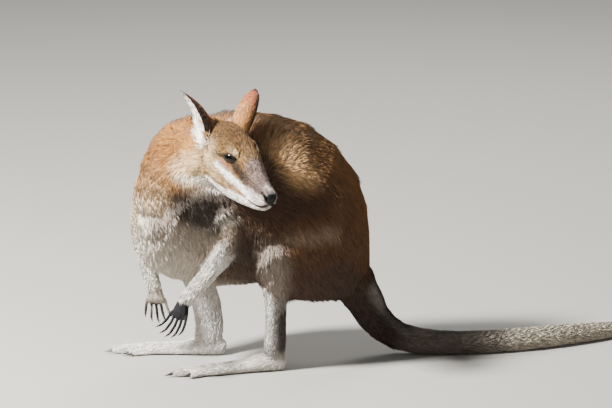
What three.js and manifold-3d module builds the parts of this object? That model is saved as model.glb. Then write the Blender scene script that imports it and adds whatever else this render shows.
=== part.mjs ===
// An agile wallaby, life size, standing on its hind feet and looking back over its left side.
// Millimetres. It faces -Y, its left side is +X, and the floor is z = 0.
import * as THREE from "three";
import { mergeVertices } from "three/addons/utils/BufferGeometryUtils.js";
import Module from "manifold-3d";

const wasm = await Module();
wasm.setup();

// Driving dimensions
const footLength = 210;
const earLength = 91;
const clawLength = { hand: 12, foot: 15, bigToe: 24 };
const eyeRadius = 11.5;
const earBow = 8; // how far the back of an ear bulges out of the straight line to its tip
const gap = 0.3; // left between two nodes that touch
const fullTurn = 2 * Math.PI;

const coat = {
  back: "#a8764a",
  neck: "#b98450",
  head: "#a98d6c",
  pale: "#d8d2c6",
  tail: "#a9a49c",
  hand: "#4a4644",
  ear: "#a9825f",
  eye: "#120d0a",
  nose: "#151312",
  claw: "#221d1a",
};

// Every station of a loft gives the centre of a cross-section, its half-width, its reach up (towards the
// back, or the front of an upright limb) and its reach down (towards the belly, or the back of the limb).
// turn is the way the section faces, in degrees from -Y towards +X; narrow makes it pear-shaped.
const tailStations = [
  { at: [-84, 850, 8], side: 5, up: 5, down: 9 },
  { at: [-70, 792, 10], side: 8, up: 8, down: 11.5 },
  { at: [-45, 715, 12], side: 11, up: 11, down: 13.5 },
  { at: [-16, 638, 14], side: 14, up: 14, down: 15.8 },
  { at: [6, 560, 18], side: 18, up: 17.5, down: 19.5 },
  { at: [22, 490, 19.5], side: 19.5, up: 19, down: 21 },
  { at: [28, 415, 20], side: 20, up: 19, down: 21.5 },
  { at: [26, 355, 20.5], side: 20.5, up: 19.5, down: 21.5 },
  { at: [17, 298, 23], side: 22, up: 21, down: 23 },
  { at: [6, 248, 34], side: 25, up: 24, down: 26 },
  { at: [0, 212, 64], side: 28, up: 27, down: 30 },
  { at: [2, 188, 104], side: 34, up: 33, down: 34 },
];
const trunkStations = [
  { at: [5, 167, 146], side: 46, up: 35, down: 50, narrow: 0.05 },
  { at: [7, 150, 186], side: 68, up: 53, down: 80, narrow: 0.14 },
  { at: [8, 125, 225], side: 84, up: 85, down: 106, narrow: 0.24 },
  { at: [8, 90, 258], side: 90, up: 118, down: 126, narrow: 0.28 },
  { at: [7, 44, 279], side: 91, up: 145, down: 138, narrow: 0.28 },
  { at: [6, -12, 288], side: 88, up: 153, down: 148, narrow: 0.24, turn: 5 },
  { at: [5, -72, 291], side: 82, up: 148, down: 151, narrow: 0.15, turn: 17 },
  { at: [11, -124, 298], side: 79, up: 122, down: 138, narrow: 0.05, turn: 31 },
  { at: [26, -160, 314], side: 67, up: 88, down: 114, turn: 42 },
  { at: [38, -184, 326], side: 40, up: 50, down: 72, turn: 48 },
];
// The nape rises out of the shoulders, and the throat turns from it to the head.
const napeStations = [
  { at: [8, -116, 262], side: 66, up: 52, down: 74, turn: 12 },
  { at: [8, -118, 300], side: 74, up: 58, down: 90, turn: 12 },
  { at: [10, -120, 350], side: 68, up: 54, down: 80, turn: 14 },
  { at: [15, -120, 392], side: 60, up: 48, down: 68, turn: 18 },
  { at: [22, -114, 438], side: 52, up: 40, down: 50, turn: 24 },
];
const throatStations = [
  { at: [4, -128, 340], side: 50, up: 44, down: 56, turn: 132 },
  { at: [34, -104, 374], side: 55, up: 49, down: 62, turn: 128 },
  { at: [64, -84, 402], side: 45, up: 42, down: 58, turn: 122 },
  { at: [92, -68, 416], side: 36, up: 34, down: 50, turn: 118 },
];

// The head lies in a frame of its own: its origin is midway between the eyes, and it looks along -Y.
const headPlace = { at: [135, -45.5, 395], turn: 114.6, nod: 22, lean: 1 };
const eyePlace = { out: 22.5, forward: -2, up: -3 };
const headStations = [
  { at: [0, 90, -12], side: 16, up: 18, down: 18 },
  { at: [0, 75, -15], side: 30, up: 36, down: 36 },
  { at: [0, 52, -16], side: 37, up: 45, down: 57, narrow: 0.04 },
  { at: [0, 25, -18], side: 38, up: 45, down: 65, narrow: 0.04 },
  { at: [0, 0, -18], side: 35, up: 41, down: 64, narrow: 0.06 },
  { at: [0, -20, -19], side: 30, up: 32, down: 61, narrow: 0.08 },
  { at: [0, -45, -22], side: 23.5, up: 21, down: 52, narrow: 0.06 },
  { at: [0, -70, -26], side: 19.5, up: 15, down: 39, narrow: 0.02 },
  { at: [0, -86, -28], side: 17, up: 13.5, down: 28 },
  { at: [0, -98, -29], side: 11, up: 9.5, down: 16 },
];
const nosePlace = { at: [0, -91, -23.5], half: [10, 8, 9.5] };

// Swellings and hollows of the face, the same on both sides: centre, spread and how far they push out
const faceForms = [
  { at: [28, 0, 13], spread: 11, push: 7 }, // brow
  { at: [34, 2, -4], spread: 9, push: -3 }, // eye socket
  { at: [31, -13, -8], spread: 8, push: -3.5 }, // in front of the eye
  { at: [36, 20, -30], spread: 17, push: 4 }, // cheek
  { at: [24, -30, -30], spread: 12, push: -3 }, // between cheek and muzzle
  { at: [15, -76, -36], spread: 10, push: 2.5 }, // upper lip
  { at: [0, -12, 20], spread: 9, push: -2 }, // between the brows
];

// An ear stands on the head, points along tip and opens towards opens, all in the head's frame.
const earPlaces = {
  left: { at: [29, 60, 2], tip: [0.65, 0.58, 0.49], opens: [0.66, 0.5, -0.54] },
  right: { at: [-29, 62, -6], tip: [-0.32, 0.66, 0.68], opens: [-0.94, 0.09, -0.34] },
};
// From its base to its tip: half-width, how far the leaf is rolled round (radians) and its thickness
const earStations = [
  { half: 15, roll: 2.3, wall: 6 },
  { half: 18, roll: 1.8, wall: 4.5 },
  { half: 17, roll: 1.6, wall: 3.6 },
  { half: 13.5, roll: 1.3, wall: 3 },
  { half: 4, roll: 0.9, wall: 2.4 },
];

// Limbs, each from the body down
const thighStations = {
  left: [
    { at: [44, 160, 212], side: 22, up: 54, down: 62 },
    { at: [54, 128, 200], side: 36, up: 84, down: 82 },
    { at: [62, 84, 194], side: 39, up: 84, down: 76 },
    { at: [70, 38, 194], side: 36, up: 66, down: 62 },
    { at: [77, 2, 200], side: 31, up: 45, down: 45 },
    { at: [80, -18, 206], side: 20, up: 28, down: 28 },
  ],
  right: [
    { at: [-32, 144, 212], side: 22, up: 54, down: 62 },
    { at: [-44, 102, 200], side: 36, up: 84, down: 82 },
    { at: [-54, 46, 196], side: 39, up: 82, down: 74 },
    { at: [-66, -22, 200], side: 36, up: 62, down: 58 },
    { at: [-73, -82, 208], side: 31, up: 43, down: 43 },
    { at: [-76, -114, 214], side: 20, up: 27, down: 28 },
  ],
};
const shankStations = {
  left: [
    { at: [80, 2, 214], side: 22, up: 22, down: 24 },
    { at: [79, 12, 182], side: 26, up: 24, down: 32 },
    { at: [76, 18, 146], side: 21, up: 20, down: 25, hollow: 0.1 },
    { at: [71, 21, 110], side: 16, up: 18.5, down: 20, hollow: 0.2 },
    { at: [65, 22, 72], side: 14, up: 19, down: 20, hollow: 0.3 },
    { at: [60, 22, 42], side: 15, up: 21, down: 20, hollow: 0.2 },
    { at: [56, 22, 18], side: 15, up: 21, down: 18 },
  ],
  right: [
    { at: [-75, -114, 214], side: 22, up: 26, down: 26 },
    { at: [-75, -104, 178], side: 26, up: 28, down: 35 },
    { at: [-72, -90, 140], side: 21, up: 26, down: 29, hollow: 0.1 },
    { at: [-67, -76, 104], side: 17, up: 26, down: 27, hollow: 0.2 },
    { at: [-62, -69, 68], side: 15, up: 26, down: 26, hollow: 0.3 },
    { at: [-58, -67, 40], side: 15.5, up: 27, down: 24, hollow: 0.2 },
    { at: [-55, -65, 18], side: 15, up: 25, down: 20 },
  ],
};
const footPlaces = {
  left: { at: [55, 41, 0], turn: 2 },
  right: { at: [-54, -41, 0], turn: -13.3 },
};
const footStations = [
  { at: [0, 2, 16], side: 8, up: 10, down: 12 },
  { at: [0, -8, 16], side: 13, up: 15, down: 18 },
  { at: [0, -34, 15], side: 15, up: 20, down: 17 },
  { at: [0, -66, 11], side: 14, up: 12.5, down: 13 },
  { at: [1, -100, 9], side: 14, up: 11.5, down: 11 },
  { at: [2, -132, 9], side: 16, up: 10.5, down: 11 },
  { at: [1, -160, 8.5], side: 11, up: 8.5, down: 10 },
  { at: [0, -184, 8], side: 7.5, up: 7.5, down: 9 },
  { at: [0, -196, 7], side: 5, up: 5, down: 7 },
];
// The long fourth toe is the tip of the foot itself; these lie beside it. Positive is the outer side.
const sideToes = [
  { digit: 5, out: 7, lead: 18, from: 126, to: 172, radius: 6 },
  { digit: 3, out: -7, lead: -14, from: 122, to: 170, radius: 4.2 },
  { digit: 2, out: -11, lead: -19.5, from: 122, to: 164, radius: 3.8 },
];

const armStations = {
  left: [
    { at: [46, -88, 318], side: 26, up: 32, down: 32 },
    { at: [62, -78, 292], side: 25, up: 29, down: 29 },
    { at: [77, -62, 262], side: 20, up: 23, down: 24 },
    { at: [84, -56, 238], side: 17, up: 18, down: 19 },
    { at: [83, -72, 212], side: 16, up: 17.5, down: 17.5 },
    { at: [79, -98, 178], side: 14.5, up: 16, down: 16 },
    { at: [75, -124, 146], side: 13, up: 14, down: 14 },
    { at: [72, -136, 130], side: 12, up: 12, down: 12 },
  ],
  right: [
    { at: [-12, -158, 334], side: 28, up: 34, down: 34 },
    { at: [-26, -172, 304], side: 27, up: 31, down: 30 },
    { at: [-38, -182, 266], side: 21, up: 24, down: 26 },
    { at: [-44, -188, 230], side: 17, up: 19, down: 20 },
    { at: [-42, -184, 200], side: 16, up: 17, down: 17.5 },
    { at: [-36, -178, 168], side: 14.5, up: 15.5, down: 15.5 },
    { at: [-30, -170, 140], side: 13, up: 13.5, down: 13.5 },
    { at: [-28, -167, 126], side: 12, up: 12, down: 12 },
  ],
};
// A hand points along ahead, with the back of the hand turned towards top.
const handPlaces = {
  left: { at: [73, -137, 131], ahead: [0.08, -0.3, -0.95], top: [-0.7, 0.7, -0.2], bend: 0.85 },
  right: { at: [-28, -167, 132], ahead: [0.05, 0.02, -0.99], top: [0.9, -0.4, 0], bend: 0.5 },
};
const palmStations = [
  { at: [0, 6, 0], side: 11, up: 10, down: 10 },
  { at: [0, -6, 0], side: 13, up: 10, down: 10 },
  { at: [0, -18, 0], side: 16.5, up: 9.5, down: 10.5 },
  { at: [0, -30, 0], side: 17, up: 6.5, down: 7.5 },
];
const fingers = { count: 5, length: 40, radius: 3.2, spread: 12, fan: 15, knuckle: 22 };

const radians = THREE.MathUtils.degToRad;

// Turns a geometry into one solid, facing out.
function solidOf(geometry) {
  geometry.deleteAttribute("uv");
  geometry.deleteAttribute("normal");
  const merged = mergeVertices(geometry, 1e-3);
  const vertProperties = new Float32Array(merged.attributes.position.array);
  const triVerts = new Uint32Array(merged.index.array);
  const make = () => new wasm.Manifold(new wasm.Mesh({ numProp: 3, vertProperties, triVerts }));
  const solid = make();
  if (solid.volume() > 0) return solid;
  for (let i = 0; i < triVerts.length; i += 3) {
    [triVerts[i + 1], triVerts[i + 2]] = [triVerts[i + 2], triVerts[i + 1]];
  }
  return make();
}

function geometryOf(solid) {
  const mesh = solid.getMesh();
  const geometry = new THREE.BufferGeometry();
  geometry.setAttribute("position", new THREE.BufferAttribute(mesh.vertProperties.slice(), 3));
  geometry.setIndex(new THREE.BufferAttribute(mesh.triVerts.slice(), 1));
  geometry.computeVertexNormals();
  return geometry;
}

// The largest of the bodies that a cut leaves
function largest(solid) {
  const bodies = solid.decompose();
  return bodies.reduce((best, body) => (body.volume() > best.volume() ? body : best));
}

const cutBy = (solid, ...others) => largest(others.reduce((left, other) => left.subtract(other), solid));

const floorBlock = solidOf(new THREE.BoxGeometry(3000, 3000, 200).translate(0, 0, -100));
const onFloor = (solid) => largest(solid.subtract(floorBlock));

// Smooth curves through the stations of one loft
class Spine {
  constructor(stations) {
    const through = (pick) => {
      const points = stations.map((station) => new THREE.Vector3(...pick(station)));
      return new THREE.CatmullRomCurve3(points, false, "catmullrom", 0.5);
    };
    this.centres = through((s) => s.at);
    this.reaches = through((s) => [s.side, s.up, s.down]);
    this.shapes = through((s) => [s.turn ?? 0, s.narrow ?? 0, s.hollow ?? 0]);
  }

  section(t) {
    const [turn, narrow, hollow] = this.shapes.getPoint(t).toArray();
    const [side, up, down] = this.reaches.getPoint(t).toArray();
    const ahead = this.centres.getTangent(t);
    const left = new THREE.Vector3(Math.cos(radians(turn)), Math.sin(radians(turn)), 0);
    left.addScaledVector(ahead, -left.dot(ahead)).normalize();
    const top = new THREE.Vector3().crossVectors(ahead, left);
    return { centre: this.centres.getPoint(t), ahead, left, top, side, up, down, narrow, hollow };
  }
}

// Where the rows of a loft lie along it, from 0 to 1, closer together towards a round end
function rowPlace(v, roundStart, roundEnd) {
  const eased =
    roundStart && roundEnd ? (1 - Math.cos(Math.PI * v)) / 2
    : roundEnd ? Math.sin((Math.PI * v) / 2)
    : roundStart ? 1 - Math.cos((Math.PI * v) / 2)
    : v;
  return (v + eased) / 2;
}

const domeSize = (depth, dome) => (depth >= dome ? 1 : Math.sqrt(1 - (1 - depth / dome) ** 2));

// Moves a point away from the middle of its section by each form that reaches it.
function pushOut(point, centre, forms) {
  const outward = point.clone().sub(centre);
  if (outward.length() < 1) return;
  outward.normalize();
  const folded = new THREE.Vector3(Math.abs(point.x), point.y, point.z);
  for (const { at, spread, push } of forms) {
    const distance = folded.distanceTo(new THREE.Vector3(...at));
    point.addScaledVector(outward, push * Math.exp(-((distance / spread) ** 2)));
  }
}

// The vertices of a sphere are moved to the cross-sections of the loft. Its poles close the two ends, which
// are flat, or domes that take up a share of the length. grow swells the whole loft.
function loft(stations, { around, rows, from = 0, to = 1, roundStart = 0, roundEnd = 0, grow = 0, forms }) {
  const spine = new Spine(stations);
  const geometry = new THREE.SphereGeometry(1, around, rows);
  const position = geometry.attributes.position;
  const first = roundStart ? 0 : 1;
  const last = roundEnd ? rows : rows - 1;
  for (let row = 0; row <= rows; row++) {
    const v = rowPlace(THREE.MathUtils.clamp((row - first) / (last - first), 0, 1), roundStart, roundEnd);
    const t = from + (to - from) * v;
    const s = spine.section(t);
    let size = row === 0 || row === rows ? 0 : 1;
    if (size && roundStart) size *= domeSize(v, roundStart);
    if (size && roundEnd) size *= domeSize(1 - v, roundEnd);
    const inset = (round) => (round ? 0 : gap / 2) - grow;
    if (v === 0) s.centre.addScaledVector(s.ahead, inset(roundStart));
    if (v === 1) s.centre.addScaledVector(s.ahead, -inset(roundEnd));
    for (let column = 0; column <= around; column++) {
      const angle = (fullTurn * (column % around)) / around;
      const [c, h] = [Math.cos(angle), Math.sin(angle)];
      const pinch = (1 - s.narrow * h) * (1 - s.hollow * Math.exp(-(((h + 0.4) / 0.3) ** 2)));
      const across = (s.side + grow) * c * pinch * size;
      const high = ((h > 0 ? s.up : s.down) + grow) * h * size;
      const point = s.centre.clone().addScaledVector(s.left, across).addScaledVector(s.top, high);
      if (forms) pushOut(point, s.centre, forms);
      position.setXYZ(row * (around + 1) + column, point.x, point.y, point.z);
    }
  }
  return solidOf(geometry);
}

function meshOf(name, solid, colour, roughness = 0.9) {
  const material = new THREE.MeshStandardMaterial({ color: colour, roughness, metalness: 0 });
  const mesh = new THREE.Mesh(geometryOf(solid), material);
  mesh.name = name;
  return mesh;
}

// A place is a point and either three angles or the directions ahead (-Y) and top (+Z).
function matrixOf({ at, turn = 0, nod = 0, lean = 0, ahead, top }) {
  const matrix = new THREE.Matrix4();
  if (ahead) {
    const y = new THREE.Vector3(...ahead).normalize().negate();
    const x = new THREE.Vector3().crossVectors(y, new THREE.Vector3(...top)).normalize();
    matrix.makeBasis(x, y, new THREE.Vector3().crossVectors(x, y));
  } else {
    matrix.makeRotationFromEuler(new THREE.Euler(radians(nod), radians(lean), radians(turn), "ZXY"));
  }
  return matrix.setPosition(...at);
}

const placed = (solid, place) => solid.transform(matrixOf(place).toArray());

const wallaby = new THREE.Group();

// Trunk and tail are one long loft, parted by flat cuts.
const axis = [...tailStations, ...trunkStations];
const stationAt = (index) => index / (axis.length - 1);
const root = tailStations.length;
const axialNodes = [
  { name: "tail_tip", to: 3, colour: coat.tail, around: 10, rows: 7 },
  { name: "tail_end", to: 6, colour: coat.tail, around: 12, rows: 6 },
  { name: "tail_middle", to: 9, colour: coat.tail, around: 14, rows: 7 },
  { name: "tail_root", to: root, colour: coat.back, around: 16, rows: 7 },
  { name: "hips", to: root + 4, colour: coat.back, around: 24, rows: 8 },
  { name: "belly", to: root + 6, colour: coat.back, around: 24, rows: 5 },
  { name: "chest", to: axis.length - 1, colour: coat.neck, around: 24, rows: 8 },
];
const grownTrunk = [];
let start = 0;
for (const { name, to, colour, around, rows } of axialNodes) {
  const lengthwise = {
    around,
    rows,
    from: stationAt(start),
    to: stationAt(to),
    roundStart: start === 0 ? 0.2 : 0,
    roundEnd: to === axis.length - 1 ? 0.5 : 0,
  };
  wallaby.add(meshOf(name, onFloor(loft(axis, lengthwise)), colour));
  grownTrunk.push(loft(axis, { ...lengthwise, grow: gap }));
  start = to;
}

// Head
const ball = (radius, centre, grow = 0) => {
  const sphere = new THREE.SphereGeometry(1, 11, 7);
  return solidOf(sphere.scale(...radius.map((r) => r + grow)).translate(...centre));
};
const headShape = { around: 20, rows: 18, roundStart: 0.12, roundEnd: 0.06, forms: faceForms };
const eyeHalf = [eyeRadius, eyeRadius, eyeRadius];
const inHead = (solid) => placed(solid, headPlace);
const grownHead = loft(headStations, { ...headShape, grow: gap });
let head = loft(headStations, headShape).subtract(ball(nosePlace.half, nosePlace.at, gap));
for (const [name, side] of [["left", 1], ["right", -1]]) {
  const centre = [side * eyePlace.out, -eyePlace.forward, eyePlace.up];
  head = head.subtract(ball(eyeHalf, centre, gap));
  wallaby.add(meshOf(`eye_${name}`, inHead(ball(eyeHalf, centre)), coat.eye, 0.1));
}
wallaby.add(meshOf("head", cutBy(inHead(largest(head)), ...grownTrunk), coat.head));
wallaby.add(meshOf("nose", inHead(ball(nosePlace.half, nosePlace.at)), coat.nose, 0.4));

// Neck
function neckSolid(grow = 0) {
  const nape = loft(napeStations, { around: 14, rows: 7, roundEnd: 0.5, grow });
  return nape.add(loft(throatStations, { around: 12, rows: 4, grow }));
}
wallaby.add(meshOf("neck", cutBy(neckSolid(), ...grownTrunk, inHead(grownHead)), coat.neck));
const grownBody = [...grownTrunk, neckSolid(gap)];

// An ear is a rolled leaf: at every height an outer arc and, inside it, an inner one.
function earSolid({ at, tip, opens }) {
  const [around, rows] = [14, 9];
  const up = new THREE.Vector3(...tip).normalize();
  const open = new THREE.Vector3(...opens);
  open.addScaledVector(up, -open.dot(up)).normalize();
  const across = new THREE.Vector3().crossVectors(up, open);
  const leaf = new THREE.CatmullRomCurve3(earStations.map((s) => new THREE.Vector3(s.half, s.roll, s.wall)));
  const geometry = new THREE.SphereGeometry(1, around, rows);
  const position = geometry.attributes.position;
  for (let row = 0; row <= rows; row++) {
    const v = THREE.MathUtils.clamp((row - 1) / (rows - 2), 0, 1);
    const [half, roll, wall] = leaf.getPoint(v).toArray();
    const radius = half / Math.sin(Math.min(roll, Math.PI / 2));
    const back = earStations[0].half * (1 - v * v) + earBow * 4 * v * (1 - v);
    const closed = row === 0 || row === rows;
    for (let column = 0; column <= around; column++) {
      const share = (column % around) / around;
      const swing = share < 0.5 ? 4 * share - 1 : 3 - 4 * share;
      const depth = share < 0.5 ? 0 : wall * Math.sqrt(Math.max(0, 1 - swing * swing));
      const reach = closed ? radius - wall / 2 : radius - depth;
      const angle = closed ? 0 : swing * roll;
      const point = new THREE.Vector3(...at).addScaledVector(up, earLength * v);
      point.addScaledVector(across, reach * Math.sin(angle));
      point.addScaledVector(open, radius - back - reach * Math.cos(angle));
      position.setXYZ(row * (around + 1) + column, point.x, point.y, point.z);
    }
  }
  return solidOf(geometry);
}
for (const [name, place] of Object.entries(earPlaces)) {
  const ear = inHead(cutBy(earSolid(place), grownHead));
  wallaby.add(meshOf(`ear_${name}`, cutBy(ear, ...grownBody), coat.ear));
}

// Hind legs
const grownThighs = {};
for (const side of ["left", "right"]) {
  const thighShape = { around: 16, rows: 9, roundStart: 0.2, roundEnd: 0.2 };
  grownThighs[side] = loft(thighStations[side], { ...thighShape, grow: gap });
  const thigh = cutBy(loft(thighStations[side], thighShape), ...grownTrunk);
  wallaby.add(meshOf(`thigh_${side}`, thigh, coat.back));
}

function toeSolid(side, { out, lead, from, to, radius }, grow) {
  const stations = [0, 0.35, 0.7, 1].map((v) => ({
    at: [side * THREE.MathUtils.lerp(out * 0.6, lead, v), -THREE.MathUtils.lerp(from, to, v), radius + 1],
    side: radius,
    up: radius * (1.1 - 0.25 * v),
    down: radius + 2,
  }));
  return loft(stations, { around: 7, rows: 5, roundStart: 0.2, roundEnd: 0.25, grow });
}

function footSolid(side, grow = 0) {
  const stations = footStations.map((s) => ({ ...s, at: [side * s.at[0], s.at[1], s.at[2]] }));
  const sole = loft(stations, { around: 12, rows: 12, roundStart: 0.12, roundEnd: 0.08, grow });
  return sideToes.reduce((all, toe) => all.add(toeSolid(side, toe, grow)), sole);
}

// A claw starts inside the end of its toe and curves down.
function clawSolid(at, length, radius, droop, forward = [0, -1, 0], down = [0, 0, -1]) {
  const stations = [0, 0.45, 1].map((v) => {
    const along = length * v;
    const fall = droop * length * v * v;
    return {
      at: at.map((value, i) => value + forward[i] * along + down[i] * fall),
      side: radius * (1 - v) ** 0.7 + 0.35,
      up: radius * 1.25 * (1 - v) ** 0.7 + 0.35,
      down: radius * (1 - v) ** 0.7 + 0.35,
    };
  });
  return loft(stations, { around: 5, rows: 3 });
}

for (const [name, side] of [["left", 1], ["right", -1]]) {
  const inFoot = (solid) => placed(solid, footPlaces[name]);
  const grownFoot = footSolid(side, gap);
  const claws = [{ digit: 4, at: [0, -footLength + clawLength.bigToe, 8], length: clawLength.bigToe, radius: 4.6 }];
  for (const { digit, lead, to, radius } of sideToes) {
    const at = [side * lead, -to + 4, radius + 2];
    claws.push({ digit, at, length: clawLength.foot, radius: radius * 0.6 });
  }
  for (const { digit, at, length, radius } of claws) {
    const claw = onFloor(clawSolid(at, length, radius, 0.2).subtract(grownFoot));
    wallaby.add(meshOf(`claw_foot_${name}_${digit}`, inFoot(claw), coat.claw, 0.35));
  }
  wallaby.add(meshOf(`foot_${name}`, inFoot(onFloor(footSolid(side))), coat.pale));

  const shank = loft(shankStations[name], { around: 12, rows: 9, roundStart: 0.15, roundEnd: 0.1 });
  const cutters = [grownThighs[name], ...grownTrunk, inFoot(grownFoot)];
  wallaby.add(meshOf(`shank_${name}`, cutBy(shank, ...cutters), coat.pale));
}

// The middle line of one finger, in the frame of its hand. Finger 0 is on the inner side.
function fingerLine(side, finger) {
  const { bend } = side > 0 ? handPlaces.left : handPlaces.right;
  const place = (2 * finger) / (fingers.count - 1) - 1;
  const splay = radians(fingers.spread * place);
  const length = fingers.length * (1 - 0.16 * place * place);
  return (v) => [
    side * (fingers.fan * place + length * v * Math.sin(splay)),
    4 * place * place - fingers.knuckle - (length * Math.sin(bend * v) * Math.cos(splay)) / bend,
    (length * (Math.cos(bend * v) - 1)) / bend - 2,
  ];
}

function handSolid(side, grow = 0) {
  const palm = loft(palmStations, { around: 10, rows: 5, roundStart: 0.2, roundEnd: 0.25, grow });
  const parts = [palm];
  for (let finger = 0; finger < fingers.count; finger++) {
    const line = fingerLine(side, finger);
    const stations = [0, 0.35, 0.7, 1].map((v) => {
      const radius = fingers.radius * (1 - 0.15 * v);
      return { at: line(v), side: radius, up: radius, down: radius };
    });
    parts.push(loft(stations, { around: 6, rows: 4, roundEnd: 0.25, grow }));
  }
  return parts.reduce((all, part) => all.add(part));
}

function fingerClaw(side, finger) {
  const line = fingerLine(side, finger);
  const near = line(0.86);
  const forward = new THREE.Vector3(...line(1)).sub(new THREE.Vector3(...near)).normalize();
  const down = new THREE.Vector3(0, -forward.z, forward.y).normalize();
  return clawSolid(near, clawLength.hand + 3, 2.1, 0.3, forward.toArray(), down.toArray());
}

// Arms and hands
for (const [name, side] of [["left", 1], ["right", -1]]) {
  const inHand = (solid) => placed(solid, handPlaces[name]);
  const grownHand = handSolid(side, gap);
  wallaby.add(meshOf(`hand_${name}`, inHand(handSolid(side)), coat.hand));
  for (let finger = 0; finger < fingers.count; finger++) {
    const claw = largest(fingerClaw(side, finger).subtract(grownHand));
    wallaby.add(meshOf(`claw_hand_${name}_${finger + 1}`, inHand(claw), coat.claw, 0.35));
  }
  const armShape = { around: 12, rows: 7 };
  const upper = loft(armStations[name], { ...armShape, to: 0.5, roundStart: 0.3 });
  const fore = loft(armStations[name], { ...armShape, from: 0.5, roundEnd: 0.15 });
  const cutters = [...grownBody, grownThighs[name]];
  wallaby.add(meshOf(`upper_arm_${name}`, cutBy(upper, ...cutters), coat.pale));
  wallaby.add(meshOf(`forearm_${name}`, cutBy(fore, ...cutters, inHand(grownHand)), coat.pale));
}

// The object stands with the middle of its bounding box over the origin.
const bounds = new THREE.Box3().setFromObject(wallaby);
const middle = bounds.getCenter(new THREE.Vector3());
wallaby.position.set(-middle.x, -middle.y, -bounds.min.z);

export default wallaby;
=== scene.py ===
import math

import bmesh
import bpy
import numpy as np
from mathutils import Matrix, Vector, bvhtree, kdtree


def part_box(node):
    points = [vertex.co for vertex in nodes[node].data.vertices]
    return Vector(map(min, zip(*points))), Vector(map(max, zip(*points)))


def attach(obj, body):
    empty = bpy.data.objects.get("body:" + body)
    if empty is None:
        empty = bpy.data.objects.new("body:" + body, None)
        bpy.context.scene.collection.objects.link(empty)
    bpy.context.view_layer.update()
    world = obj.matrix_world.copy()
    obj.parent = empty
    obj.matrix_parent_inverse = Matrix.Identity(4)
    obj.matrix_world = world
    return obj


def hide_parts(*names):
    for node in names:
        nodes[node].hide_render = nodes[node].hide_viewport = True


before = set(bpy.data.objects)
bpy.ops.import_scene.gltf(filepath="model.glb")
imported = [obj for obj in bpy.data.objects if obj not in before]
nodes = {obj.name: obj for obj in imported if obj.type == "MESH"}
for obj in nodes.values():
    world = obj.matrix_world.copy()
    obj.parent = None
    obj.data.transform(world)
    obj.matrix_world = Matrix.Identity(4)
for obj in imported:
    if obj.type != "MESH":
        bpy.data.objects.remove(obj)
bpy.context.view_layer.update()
bothSides = ("left", "right")


# Places on the body are in millimetres from the floor point midway between the heels,
# with -Y ahead and +X on the animal's left.
heelPoint = np.array(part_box("foot_left")[0]) - np.array((0.03971, -0.15488, 0.0))


def bodyPlace(place):
    return heelPoint + np.asarray(place, float) / 1000


def unit(vectors):
    vectors = np.asarray(vectors, float)
    return vectors / np.maximum(np.linalg.norm(vectors, axis=-1, keepdims=True), 1e-12)


def nodeMiddle(name):
    points = np.array([v.co for v in nodes[name].data.vertices])
    return np.unique(points.round(6), axis=0).mean(axis=0)


# Places on the head are in millimetres from the point between the eyes: x to its left, -y ahead, z up.
eyeMiddles = {side: nodeMiddle("eye_" + side) for side in bothSides}
noseMiddle = nodeMiddle("nose")
betweenEyes = (eyeMiddles["left"] + eyeMiddles["right"]) / 2
headX = unit(eyeMiddles["left"] - eyeMiddles["right"])
toNose = noseMiddle - betweenEyes
toNose = unit(toNose - headX * toNose.dot(headX))
noseDip = math.atan2(20.5, 93)
headY = -(toNose * math.cos(noseDip) + np.cross(headX, -toNose) * math.sin(noseDip))
headZ = np.cross(headX, headY)
headAxes = np.array((headX, headY, headZ))
headOrigin = betweenEyes - headY * 0.002 + headZ * 0.003


def headPlace(place):
    return headOrigin + np.asarray(place, float) / 1000 @ headAxes


def headTurn(direction):
    return np.asarray(direction, float) @ headAxes


def inHead(points):
    return (points - headOrigin) @ headAxes.T * 1000


def addObject(name, data):
    thing = bpy.data.objects.new(name, data)
    bpy.context.collection.objects.link(thing)
    return thing


def aimAt(thing, target):
    thing.rotation_mode = "QUATERNION"
    thing.rotation_quaternion = (target - thing.location).to_track_quat("-Z", "Y")


cameraValues = {"azimuth": 78, "elevation": 14, "distance": 6.0, "lens": 205.2, "target": (-88, 107.2, 250)}


def addCamera(values):
    camera = addObject("camera", bpy.data.cameras.new("camera"))
    azimuth, elevation = math.radians(values["azimuth"]), math.radians(values["elevation"])
    back = Vector((
        math.sin(azimuth) * math.cos(elevation),
        -math.cos(azimuth) * math.cos(elevation),
        math.sin(elevation),
    ))
    target = Vector(bodyPlace(values["target"]))
    camera.location = target + back * values["distance"]
    aimAt(camera, target)
    camera.data.lens = values["lens"]
    camera.data.sensor_width = 36
    camera.data.clip_start, camera.data.clip_end = 0.1, 100
    bpy.context.scene.camera = camera


addCamera(cameraValues)
print("camera placed")


# Arrays of a mesh, and the small amount of arithmetic the skin and coat need


def readArray(items, field, width, kind=np.int64):
    values = np.empty(len(items) * width, kind)
    items.foreach_get(field, values)
    return values.reshape(-1, width)


def meshPoints(mesh):
    return readArray(mesh.vertices, "co", 3, float)


def meshEdges(mesh):
    return readArray(mesh.edges, "vertices", 2)


def meshTriangles(mesh):
    mesh.calc_loop_triangles()
    return readArray(mesh.loop_triangles, "vertices", 3)


def faceVectors(points, triangles):
    a, b, c = (points[triangles[:, i]] for i in range(3))
    return np.cross(b - a, c - a) / 2


def pointNormals(points, triangles):
    faces = faceVectors(points, triangles)
    normals = np.zeros_like(points)
    for corner in range(3):
        for axis in range(3):
            normals[:, axis] += np.bincount(triangles[:, corner], faces[:, axis], len(points))
    return unit(normals)


def neighbourMean(values, edges):
    a, b = edges[:, 0], edges[:, 1]
    count = np.bincount(a, minlength=len(values)) + np.bincount(b, minlength=len(values))
    total = np.empty_like(values)
    for axis in range(values.shape[1]):
        column = values[:, axis]
        total[:, axis] = np.bincount(a, column[b], len(values)) + np.bincount(b, column[a], len(values))
    return total / np.maximum(count, 1)[:, None]


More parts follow.
